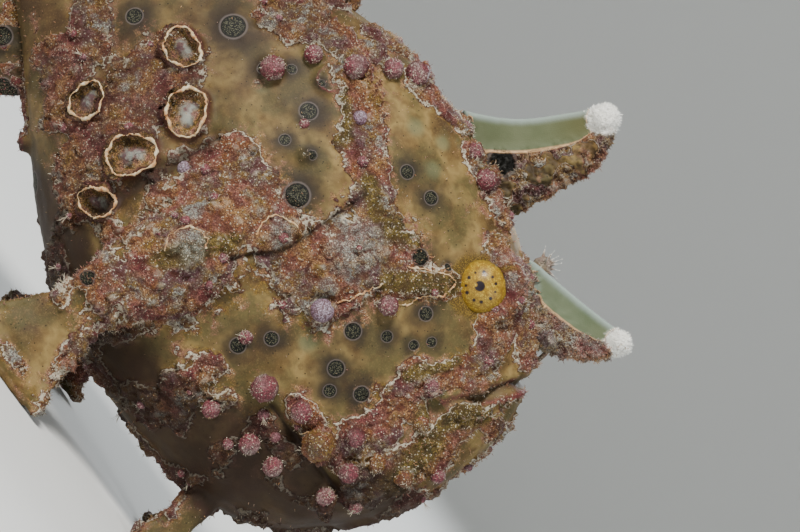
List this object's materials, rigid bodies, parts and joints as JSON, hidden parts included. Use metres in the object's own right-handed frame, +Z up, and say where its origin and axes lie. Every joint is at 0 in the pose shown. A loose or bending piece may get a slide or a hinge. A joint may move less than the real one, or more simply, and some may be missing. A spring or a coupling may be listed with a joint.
{
  "type": "frogfish",
  "caption": "Life-size still model of a warty adult frogfish, standing on its paired fins with both head spines raised and its tail fin half spread.",
  "frame": {"origin": "middle of the model's footprint box, on the floor under the fins that it stands on", "axes": "+X towards the snout, +Y to the fish's left side, +Z up from the floor"},
  "size_m": [0.143, 0.061, 0.101],
  "materials": {
    "skin": "mottled tan, pink and olive warty skin, satin",
    "spine_skin": "rough maroon-pink spiny skin, satin",
    "fin_web": "translucent mottled fin skin, satin",
    "eye": "glossy golden iris with a black pupil"
  },
  "bodies": {
    "root": {"head": "skin", "lower_jaw": "skin", "trunk": "skin", "tail_stalk": "skin", "pectoral_arm_right": "skin", "pectoral_arm_left": "skin", "second_dorsal_spine": "spine_skin", "third_dorsal_spine": "spine_skin", "illicium": "spine_skin", "esca": "spine_skin", "dorsal_fin": "fin_web", "anal_fin": "fin_web", "tail_fin": "fin_web", "pectoral_hand_right": "fin_web", "pectoral_hand_left": "fin_web", "pelvic_foot_right": "fin_web", "pelvic_foot_left": "fin_web", "eye_right": "eye", "eye_left": "eye"}
  },
  "joints": []
}
